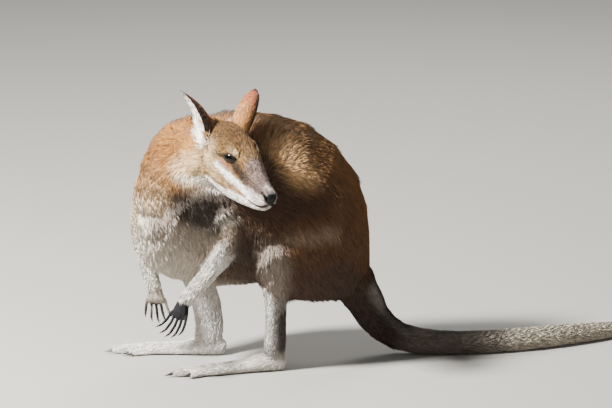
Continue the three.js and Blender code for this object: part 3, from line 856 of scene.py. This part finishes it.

# bare dark skin of the lids, lips and nose, and painted shade laid near black in the nostril openings
eyeRim = np.zeros(len(places))
for side in bothSides:
    local = places - mirrored(eyeValues["middle"], side)
    _, facing, a, b = lidAngles(local, side)
    upper, lower = lidGap(a)
    outside = np.maximum(b - upper, lower - b)
    beyond = np.abs(a) - eyeValues["reach"]
    outside = np.where(beyond < 0, outside, np.hypot(outside, beyond))
    close = headMask & (np.linalg.norm(local, axis=1) < 18) & (facing > 0)
    corner = 6 * smoothStep(np.abs(a), 40, 75)
    rim = close * (1 - smoothStep(outside - corner, *eyeValues["rim"]))
    eyeRim = np.maximum(eyeRim, rim)
    pink = close * (1 - smoothStep(outside, 10, 24)) * smoothStep(-b, -6, 12)
    tintSkin("#a8745f", pink * 0.5)
    tintSkin("#1e1512", rim * 0.95)
mouthDistance, _ = lineDistance(halfPlaces, mouthValues["line"])
nostrilDistance, _ = lineDistance(halfPlaces, noseValues["nostril"])
nearNostril = 1 - smoothStep(nostrilDistance, 1.8, 3.0)
lips = headMask * (1 - smoothStep(mouthDistance, 2.8, 4.6))
noseSkin = headMask * np.maximum(smoothStep(noseShare(places), -0.1, 0.0), nearNostril)
tintSkin("#4a1f1b", lips * 0.92)
tintSkin("#4f4644", noseSkin * 0.95)
# painted shade: near black in the nostril openings
tintSkin("#120d0c", headMask * (1 - smoothStep(nostrilDistance, 1.4, 3.0)) * 0.95)
print("markings laid")


# The lie of the coat: strokes of a comb, each with a place and a direction

combBody = [
    ((0, -110, 435), (0, 1, 0.05)), ((0, 0, 440), (0, 1, 0)), ((0, 90, 420), (0, 1, -0.5)),
    ((0, 165, 345), (0, 0.6, -1)), ((0, 193, 274), (0, 0.15, -1)), ((0, 197, 200), (0, 0.2, -1)),
    ((95, -50, 320), (0, 1, -0.5)), ((98, 20, 330), (0, 1, -0.5)), ((95, 90, 300), (0, 0.8, -0.8)),
    ((80, 150, 240), (0, 0.4, -1)), ((-90, -50, 320), (0, 1, -0.5)), ((-92, 20, 330), (0, 1, -0.5)),
    ((-85, 90, 300), (0, 0.8, -0.8)), ((-70, 150, 240), (0, 0.4, -1)),
    ((95, -60, 220), (0, 0.8, -0.7)), ((-90, -60, 220), (0, 0.8, -0.7)),
    ((5, -40, 140), (0, 1, 0)), ((5, -120, 150), (0, 1, -0.3)), ((5, 60, 140), (0, 1, 0.2)),
    ((20, -215, 300), (0.1, 0.1, -1)), ((20, -195, 230), (0.1, 0.4, -1)), ((60, -170, 280), (0.1, 0.5, -1)),
    ((70, -110, 320), (0.1, 0.6, -1)), ((-60, -150, 340), (-0.15, 0.4, -1)), ((-60, -120, 250), (0, 0.6, -1)),
    ((10, -195, 385), (-0.35, -0.2, -1)), ((60, -130, 385), (-0.6, -0.5, -0.7)),
    ((-30, -150, 400), (-0.6, 0.3, -0.7)), ((70, -100, 340), (-0.5, -0.3, -0.9)),
    ((20, -95, 440), (-0.8, 0.5, 0)), ((50, -100, 430), (-0.9, -0.1, -0.1)),
    ((108, 60, 210), (0, 0.5, -1)), ((104, 120, 190), (0, 0.6, -1)), ((104, 5, 215), (0, 0.2, -1)),
    ((-104, 30, 210), (0, 0.5, -1)), ((-96, 110, 190), (0, 0.6, -1)), ((-104, -90, 215), (0, 0.3, -1)),
    ((76, 18, 146), (0, 0.05, -1)), ((65, 22, 72), (0, 0, -1)), ((-72, -90, 140), (0, 0.2, -1)),
    ((-62, -69, 68), (0, 0, -1)),
    ((55, 20, 30), (0, -0.4, -1)), ((55, -20, 30), (0, -1, -0.2)), ((57, -100, 12), (0.03, -1, 0)),
    ((-55, -60, 30), (0, -0.5, -1)), ((-60, -95, 30), (-0.2, -1, -0.2)), ((-80, -180, 12), (-0.23, -1, 0)),
    ((0, 212, 64), (0, 0.7, -0.7)), ((6, 248, 34), (0.1, 1, -0.3)), ((26, 355, 20), (0.05, 1, 0)),
    ((22, 490, 20), (-0.1, 1, 0)), ((-16, 638, 14), (-0.3, 1, 0)), ((-70, 792, 10), (-0.25, 1, 0)),
    ((62, -78, 292), (0.3, 0.5, -1)), ((84, -56, 238), (0, -0.3, -1)), ((79, -98, 178), (-0.05, -0.8, -1)),
    ((73, -138, 130), (0.08, -0.3, -0.95)), ((78, -150, 96), (0.1, -0.4, -0.9)),
    ((74, -165, 66), (-0.1, -0.7, -0.7)), ((-38, -182, 266), (-0.2, -0.1, -1)),
    ((-42, -184, 200), (0.1, 0.15, -1)), ((-28, -167, 126), (0.05, 0.1, -1)),
    ((-27, -165, 90), (0.05, 0.1, -1)),
]
combHead = [
    ((0, -88, -14), (0, 1, 0.25)), ((0, -50, 2), (0, 1, 0.3)),
    ((0, 0, 26), (0, 1, 0.2)), ((0, 50, 30), (0, 1, -0.1)),
    ((22, -60, -26), (0.25, 1, -0.1)), ((30, -20, -16), (0.3, 1, -0.15)), ((37, 20, -20), (0.1, 1, -0.35)),
    ((36, 50, -30), (0, 0.9, -0.6)), ((30, 10, -56), (0.1, 1, -0.5)), ((16, -60, -54), (0.2, 1, -0.3)),
    ((0, -40, -70), (0, 1, -0.3)), ((34, -4, 12), (0.1, 1, 0.3)), ((30, 40, 14), (0.2, 1, 0.2)),
    ((38, 66, -8), (0.5, 0.62, 0.6)), ((42, 56, -18), (0.3, 0.6, 0.8)),
]


combValues = {"near": 120, "rounds": 14}  # how tightly a stroke holds the hair round it, and the smoothing


def combDirections(points):
    strokes = [(bodyPlace(place), unit(way)) for place, way in combBody]
    for place, way in combHead:
        for side in bothSides if place[0] else ("left",):
            strokes.append((headPlace(mirrored(place, side)), headTurn(unit(mirrored(way, side)))))
    total = np.zeros_like(points)
    for spot, way in strokes:
        near = 1 / ((((points - spot) * 1000) ** 2).sum(axis=1) + combValues["near"]) ** 2
        total += way * near[:, None]
    for side in bothSides:
        total[belongsTo("ear_" + side)] = headTurn(unit(earValues[side]["tip"]))
    return unit(total)


def laidFlat(directions, normals):
    return unit(directions - normals * (directions * normals).sum(axis=1)[:, None])


normals = pointNormals(skinPoints, triangles)
lie = combDirections(skinPoints)
for _ in range(combValues["rounds"]):
    lie = relax(laidFlat(lie, normals), skinEdges, 1)
lie = laidFlat(lie, normals)
print("coat combed")


# Materials


def nodeGroup(name, inputs, outputs):
    group = bpy.data.node_groups.new(name, "ShaderNodeTree")
    for label, kind, value in inputs:
        socket = group.interface.new_socket(label, in_out="INPUT", socket_type=kind)
        socket.default_value = value
    for label, kind in outputs:
        group.interface.new_socket(label, in_out="OUTPUT", socket_type=kind)
    return group, group.nodes.new("NodeGroupInput"), group.nodes.new("NodeGroupOutput")


def newNode(tree, kind, **inputs):
    node = tree.nodes.new("ShaderNode" + kind)
    for label, value in inputs.items():
        node.inputs[label.replace("_", " ")].default_value = value
    return node


def newMath(tree, operation, first):
    node = newNode(tree, "Math")
    node.operation = operation
    node.inputs[0].default_value = first
    return node


def newProduct(tree, factor):
    node = newNode(tree, "Mix", Factor=factor)
    node.data_type, node.blend_type = "RGBA", "MULTIPLY"
    return node


def ownColour(tree):
    node = newNode(tree, "Attribute")
    node.attribute_name = "coatColour"
    return node.outputs["Color"]


def hairGroup():
    # fine light and dark hairs over a colour, and their relief
    group, given, made = nodeGroup(
        "hairGrain",
        (("Colour", "NodeSocketColor", (0.5, 0.4, 0.3, 1)), ("Scale", "NodeSocketFloat", 900.0),
         ("Contrast", "NodeSocketFloat", 0.3)),
        (("Colour", "NodeSocketColor"), ("Height", "NodeSocketFloat")),
    )
    link = group.links.new
    place = newNode(group, "TexCoord")
    fine = newNode(group, "TexNoise", Detail=3)
    spread = newNode(group, "MapRange", From_Min=0.3, From_Max=0.7)
    low, high = newMath(group, "SUBTRACT", 1), newMath(group, "ADD", 1)
    tint = newNode(group, "VectorMath")
    tint.operation = "SCALE"
    link(place.outputs["Object"], fine.inputs["Vector"])
    link(given.outputs["Scale"], fine.inputs["Scale"])
    link(fine.outputs["Fac"], spread.inputs["Value"])
    link(given.outputs["Contrast"], low.inputs[1])
    link(given.outputs["Contrast"], high.inputs[1])
    link(low.outputs[0], spread.inputs["To Min"])
    link(high.outputs[0], spread.inputs["To Max"])
    link(given.outputs["Colour"], tint.inputs[0])
    link(spread.outputs["Result"], tint.inputs["Scale"])
    link(tint.outputs["Vector"], made.inputs["Colour"])
    link(fine.outputs["Fac"], made.inputs["Height"])
    return group


hairGrain = hairGroup()


def newMaterial(name, **sockets):
    material = bpy.data.materials.new(name)
    material.use_nodes = True
    shader = material.node_tree.nodes["Principled BSDF"]
    for label, value in sockets.items():
        shader.inputs[label.replace("_", " ")].default_value = value
    return material, material.node_tree, shader


def furMaterial(name, scale, contrast, bump, roughness):
    material, tree, shader = newMaterial(
        name, Roughness=roughness, Sheen_Weight=0.03, Sheen_Roughness=0.4, Specular_IOR_Level=0.18,
    )
    link = tree.links.new
    grain = newNode(tree, "Group")
    grain.node_tree = hairGrain
    grain.inputs["Scale"].default_value = scale
    grain.inputs["Contrast"].default_value = contrast
    relief = newNode(tree, "Bump", Strength=bump, Distance=0.0008)
    link(ownColour(tree), grain.inputs["Colour"])
    link(grain.outputs["Colour"], shader.inputs["Base Color"])
    link(grain.outputs["Height"], relief.inputs["Height"])
    link(relief.outputs["Normal"], shader.inputs["Normal"])
    return material


skinMaterial = furMaterial("skinUnderCoat", 700, 0.3, 0.5, 0.8)
coatMaterial = furMaterial("coatHair", 500, 0.16, 0.0, 0.62)


def setColours(piece, colours):
    layer = piece.data.color_attributes.new("coatColour", "FLOAT_COLOR", "POINT")
    rgba = np.ones((len(colours), 4), np.float32)
    rgba[:, :3] = np.clip(colours, 0, 1)
    layer.data.foreach_set("color", rgba.ravel())


skin.data.polygons.foreach_set("use_smooth", np.ones(len(skin.data.polygons), bool))
# the skin under the coat is laid at 0.8 of its colour: painted shade beneath the hair
setColours(skin, colours * 0.8)
skin.data.materials.clear()
skin.data.materials.append(skinMaterial)
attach(skin, "root")
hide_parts(*fleshNodes)


# The coat: thin locks rooted in the skin

coatPieces = {
    # nodes, number of tufts
    "coatHips": (("hips",), 31500),
    "coatBelly": (("belly",), 30000),
    "coatChest": (("chest",), 33000),
    "coatNeck": (("neck",), 26000),
    "coatHead": (("head",), 33000),
    "coatThighLeft": (("thigh_left",), 14000),
    "coatThighRight": (("thigh_right",), 11000),
    "coatTail": (("tail_tip", "tail_end", "tail_middle", "tail_root"), 24000),
    "coatShanks": (("shank_left", "shank_right"), 11000),
    "coatArms": (("upper_arm_left", "upper_arm_right", "forearm_left", "forearm_right"), 13000),
    "coatFeet": (("foot_left", "foot_right"), 11000),
    "coatHands": (("hand_left", "hand_right"), 5000),
    "coatEars": (("ear_left", "ear_right"), 7000),
}
tuftValues = {
    "clump": 5.0,  # mm between the middles of clumps
    "pull": 0.6,  # how far a tip leans to the middle of its clump
    "tone": 0.14,  # light and dark from clump to clump
    "tick": 0.15,  # and from tuft to tuft
    "bend": 0.36,  # where along it a tuft is widest
    "thickness": 0.3,
    "shade": (0.7, 0.88, 0.9, 0.95, 1.03),  # root, sides, ridge, tip
    "patch": 0.003,
}
tuftFaces = np.array(((0, 2, 1), (1, 2, 4), (0, 1, 3), (0, 3, 2), (1, 4, 3), (2, 3, 4)))
fields = {key: relaxField(regionField(key), 14) for key in ("length", "width", "lift", "loose")}
faceSize = np.ones(len(places))
towardNose = 1 - smoothStep(np.linalg.norm(places - (0, -85, -30), axis=1), 14, 62)
faceSize -= headShare * 0.55 * towardNose
for side in bothSides:
    nearEye = 1 - smoothStep(np.linalg.norm(places - mirrored((31, 0, -3), side), axis=1), 9, 30)
    faceSize -= headShare * 0.4 * nearEye
faceSize = np.clip(faceSize, 0.3, 1)
fields["length"] = fields["length"] * faceSize
fields["width"] = fields["width"] * (0.4 + 0.6 * faceSize)
cheek = headShare * smoothStep(places[:, 1], 8, 40) * (1 - smoothStep(places[:, 2], -4, 14))
fields["length"] += hairBelowEar * 9 + insideEars * 1.5 + cheek * 9
bareLips = headMask * (1 - smoothStep(mouthDistance, 2.8, 4.2)) * (places[:, 1] < -64)
soles = skinPoints[:, 2] < 0.0035
palm = belongsTo("hand_left") & (normals @ unit((0.7, -0.7, 0.2)) > 0.1)
bare = np.maximum.reduce([eyeRim, noseSkin, lips, bareLips, soles * 1.0, palm * 0.9])


def clumpMiddles(roots, dice):
    # every root belongs to the nearest of a thinned set of the roots themselves
    spacing = tuftValues["clump"] / 1000
    cell = np.floor(roots / spacing).astype(np.int64)
    _, first = np.unique(cell, axis=0, return_index=True)
    tree = kdtree.KDTree(len(first))
    for i, point in enumerate(roots[first].tolist()):
        tree.insert(point, i)
    tree.balance()
    own = np.array([tree.find(point)[1] for point in roots.tolist()])
    return first[own], dice.normal(size=len(first))[own]


def growTufts(name, nodeNames, count, seed):
    dice = np.random.default_rng(seed)
    mine = belongsTo(*nodeNames)[triangles].sum(axis=1) >= 2
    faces = triangles[mine]
    area = np.linalg.norm(faceVectors(skinPoints, faces), axis=1)
    small = (fields["length"] * fields["width"])[faces].mean(axis=1)
    crowd = area / small * (1 - bare[faces].mean(axis=1))
    face = faces[dice.choice(len(faces), size=count, p=crowd / crowd.sum())]
    mix = dice.dirichlet((1, 1, 1), size=count)

    def at(values):
        return (values[face] * mix.reshape(mix.shape + (1,) * (values.ndim - 1))).sum(axis=1)

    root, normal, along = at(skinPoints), unit(at(normals)), at(lie)
    length = at(fields["length"]) / 1000 * dice.uniform(0.75, 1.25, count)
    width = at(fields["width"]) / 1000 * dice.uniform(0.75, 1.25, count)
    lift = np.radians(at(fields["lift"]) * dice.uniform(0.6, 1.5, count))
    loose = at(fields["loose"])
    along = laidFlat(along, normal)
    across = np.cross(normal, along)
    along = unit(along + across * (dice.normal(size=count) * loose)[:, None])
    across = np.cross(normal, along)
    middle, tone = clumpMiddles(root, dice)
    tip = root + along * (length * np.cos(lift))[:, None] + normal * (length * np.sin(lift) * 0.8)[:, None]
    lean = tip[middle] - tip
    lean -= along * (lean * along).sum(axis=1)[:, None] * 0.7
    lean *= np.minimum(1, 0.45 * length / np.maximum(np.linalg.norm(lean, axis=1), 1e-9))[:, None]
    tip = tip + lean * tuftValues["pull"]
    middlePart = root + along * (tuftValues["bend"] * length * np.cos(lift))[:, None]
    middlePart += normal * (length * np.sin(lift) * 0.6)[:, None] + lean * tuftValues["pull"] * 0.25
    half = across * (width / 2)[:, None]
    ridge = normal * (width * tuftValues["thickness"])[:, None]
    points = np.stack((
        root - normal * 0.0005, middlePart - half, middlePart + half, middlePart + ridge, tip,
    ), axis=1)
    corners = points.shape[1]
    faces = tuftFaces[None] + (np.arange(count) * corners)[:, None, None]
    piece = meshObject(name, points.reshape(-1, 3), faces.reshape(-1, 3))

    tint = at(colours)
    agouti = 1 + 0.9 * at(headShare)
    bright = 1 + (tuftValues["tone"] * tone + tuftValues["tick"] * dice.normal(size=count)) * agouti
    tint = tint * np.clip(bright, 0.45, 1.6)[:, None]
    shade = np.array(tuftValues["shade"])
    setColours(piece, (tint[:, None, :] * shade[None, :, None]).reshape(-1, 3))

    # the coat's map: the skin unrolled round its own long axis, one small patch for each tuft
    centre = root.mean(axis=0)
    spread = np.linalg.svd((root - centre)[:: max(1, count // 3000)], full_matrices=False)[2]
    local = (root - centre) @ spread.T
    turn = np.arctan2(local[:, 2], local[:, 1]) / (2 * math.pi) + 0.5
    run = (local[:, 0] - local[:, 0].min()) / np.ptp(local[:, 0])
    patch = tuftValues["patch"]
    flat = np.array(((0.5, 0), (0, 0.45), (1, 0.4), (0.45, 0.5), (0.55, 1))) * patch
    corner = np.stack((0.005 + turn * 0.985, 0.005 + run * 0.985), axis=1)
    uv = (corner[:, None, :] + flat[None]).reshape(-1, 2)
    layer = piece.data.uv_layers.new(name="OFBake")
    loops = readArray(piece.data.loops, "vertex_index", 1, np.int32)[:, 0]
    layer.data.foreach_set("uv", uv[loops].astype(np.float32).ravel())
    piece.data.materials.append(coatMaterial)
    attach(piece, "root")


for seed, (name, (nodeNames, count)) in enumerate(coatPieces.items()):
    growTufts(name, nodeNames, count, 100 + seed)
print("coat grown")


# Eyes, nose and claws


def eyePiece(side):
    outward, along, above = eyeAxes(side)
    middle = mirrored(eyeValues["middle"], side)
    shape = bmesh.new()
    bmesh.ops.create_uvsphere(shape, u_segments=48, v_segments=32, radius=1)
    turn = np.array((along, above, outward))
    points = np.array([v.co for v in shape.verts])
    bulge = 1 + eyeValues["cornea"] * smoothStep(points[:, 2], 0.72, 0.98)
    points = points * bulge[:, None] * eyeValues["radius"]
    places = headPlace(middle + points @ turn)
    faces = [[v.index for v in f.verts] for f in shape.faces]
    shape.free()
    mesh = bpy.data.meshes.new("eyeball" + side.title())
    mesh.from_pydata(places.tolist(), [], faces)
    if sum(f.normal.dot(f.center - Vector(headPlace(middle))) for f in mesh.polygons) < 0:
        mesh.flip_normals()
    mesh.polygons.foreach_set("use_smooth", np.ones(len(mesh.polygons), bool))
    piece = addObject("eyeball" + side.title(), mesh)
    facing = np.clip(points[:, 2] / eyeValues["radius"], -1, 1)
    tint = linear(eyeValues["pupil"])
    for part, start, end in (("iris", -0.86, -0.8), ("white", -0.5, -0.42)):
        tint = tint + (linear(eyeValues[part]) - tint) * smoothStep(-facing, start, end)[:, None]
    setColours(piece, tint)
    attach(piece, "root")
    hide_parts("eye_" + side)
    return piece


def eyeMaterial():
    material, tree, shader = newMaterial(
        "eyeWet", Roughness=0.09, Specular_IOR_Level=0.16, Coat_Weight=0.35, Coat_Roughness=0.03,
    )
    streak, blend = newNode(tree, "TexNoise", Scale=900), newProduct(tree, 0.5)
    tree.links.new(ownColour(tree), blend.inputs["A"])
    tree.links.new(streak.outputs["Color"], blend.inputs["B"])
    tree.links.new(blend.outputs["Result"], shader.inputs["Base Color"])
    return material


wetEye = eyeMaterial()
for side in bothSides:
    eyePiece(side).data.materials.append(wetEye)


def leatherMaterial(name, roughness, scale, bump):
    material, tree, shader = newMaterial(name, Roughness=roughness, Specular_IOR_Level=0.22)
    link = tree.links.new
    place, cells = newNode(tree, "TexCoord"), newNode(tree, "TexVoronoi", Scale=scale)
    tone = newProduct(tree, 0.6)
    relief = newNode(tree, "Bump", Strength=bump, Distance=0.0004)
    link(place.outputs["Object"], cells.inputs["Vector"])
    link(ownColour(tree), tone.inputs["A"])
    link(cells.outputs["Color"], tone.inputs["B"])
    link(tone.outputs["Result"], shader.inputs["Base Color"])
    link(cells.outputs["Distance"], relief.inputs["Height"])
    link(relief.outputs["Normal"], shader.inputs["Normal"])
    return material


def nosePiece():
    # the pad is its own shell, standing a little proud of the skin it covers
    share = noseShare(places)
    mine = headMask & (share > -0.04)
    faces = triangles[mine[triangles].all(axis=1)]
    used, faces = np.unique(faces, return_inverse=True)
    faces = faces.reshape(-1, 3)
    count = len(used)
    rise = smoothStep(share[used], -0.04, 0.1) * noseValues["wall"] - 0.3
    outer = skinPoints[used] + normals[used] * rise[:, None] / 1000
    inner = skinPoints[used] - normals[used] * 0.0015
    edges = np.vstack((faces[:, [0, 1]], faces[:, [1, 2]], faces[:, [2, 0]]))
    rim = edges[~np.isin(edges @ (count, 1), edges @ (1, count))]
    a, b = rim[:, 0], rim[:, 1]
    walls = np.vstack((np.stack((b, a, a + count), 1), np.stack((b, a + count, b + count), 1)))
    shell = np.vstack((faces, faces[:, ::-1] + count, walls))
    piece = meshObject("nosePad", np.vstack((outer, inner)), shell)
    # painted shade: the pad darkens to near black in the nostril openings
    tone = linear(noseValues["colour"]) * (0.15 + 0.85 * smoothStep(nostrilDistance[used], 1.6, 3.2))[:, None]
    setColours(piece, np.vstack((tone, tone)))
    piece.data.materials.append(leatherMaterial("noseSkin", 0.5, 1500, 0.55))
    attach(piece, "root")
    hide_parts("nose")


nosePiece()


clawValues = {"dark": "#1d1715", "light": "#453a34", "bands": 260}


def hornMaterial():
    material, tree, shader = newMaterial("clawHorn", Roughness=0.42, Specular_IOR_Level=0.45)
    place, bands = newNode(tree, "TexCoord"), newNode(tree, "TexNoise", Scale=clawValues["bands"], Detail=4)
    ramp = newNode(tree, "ValToRGB")
    for stop, shade in zip(ramp.color_ramp.elements, ("dark", "light")):
        stop.color = (*linear(clawValues[shade]), 1)
    tree.links.new(place.outputs["Object"], bands.inputs["Vector"])
    tree.links.new(bands.outputs["Fac"], ramp.inputs["Fac"])
    tree.links.new(ramp.outputs["Color"], shader.inputs["Base Color"])
    return material


def clawPiece():
    clawNodes = sorted(n for n in nodes if n.startswith("claw"))
    piece = meshObject("claws", *gatherNodes(clawNodes)[:2])
    withModifier(piece, "SUBSURF", levels=2, render_levels=2)
    piece.data.polygons.foreach_set("use_smooth", np.ones(len(piece.data.polygons), bool))
    piece.data.materials.append(hornMaterial())
    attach(piece, "root")
    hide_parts(*clawNodes)


clawPiece()
print("eyes, nose and claws made")


# Floor and light

floorValues = {"reach": 12, "colour": "#aeaba5", "roughness": 0.9}


def floorPiece(values):
    corners = np.array(((-1, -1, 0), (1, -1, 0), (1, 1, 0), (-1, 1, 0))) * values["reach"]
    floor = meshObject("floor", corners, [(0, 1, 2, 3)])
    material, _, _ = newMaterial(
        "paleFloor", Roughness=values["roughness"], Base_Color=(*linear(values["colour"]), 1),
    )
    floor.data.materials.append(material)


floorPiece(floorValues)

lampValues = {
    # place in metres from the heels, power in watts, size in metres
    "key": ((0.6, -2.2, 2.3), 640, 0.42),
    "fill": ((3.4, 0.4, 1.4), 20, 2.4),
    "back": ((-2.0, 1.4, 2.4), 75, 1.4),
}


def addLamp(name, place, power, size):
    light = bpy.data.lights.new(name, "AREA")
    light.energy, light.size = power, size
    lamp = addObject(name, light)
    lamp.location = Vector(heelPoint) + Vector(place)
    aimAt(lamp, Vector(bodyPlace((0, 0, 250))))


for name, (place, power, size) in lampValues.items():
    addLamp(name, place, power, size)
skyValues = {"Color": (0.93, 0.95, 1.0, 1), "Strength": 0.34}
world = bpy.data.worlds.new("studio")
world.use_nodes = True
for label, value in skyValues.items():
    world.node_tree.nodes["Background"].inputs[label].default_value = value
bpy.context.scene.world = world
print("floor and lamps placed")
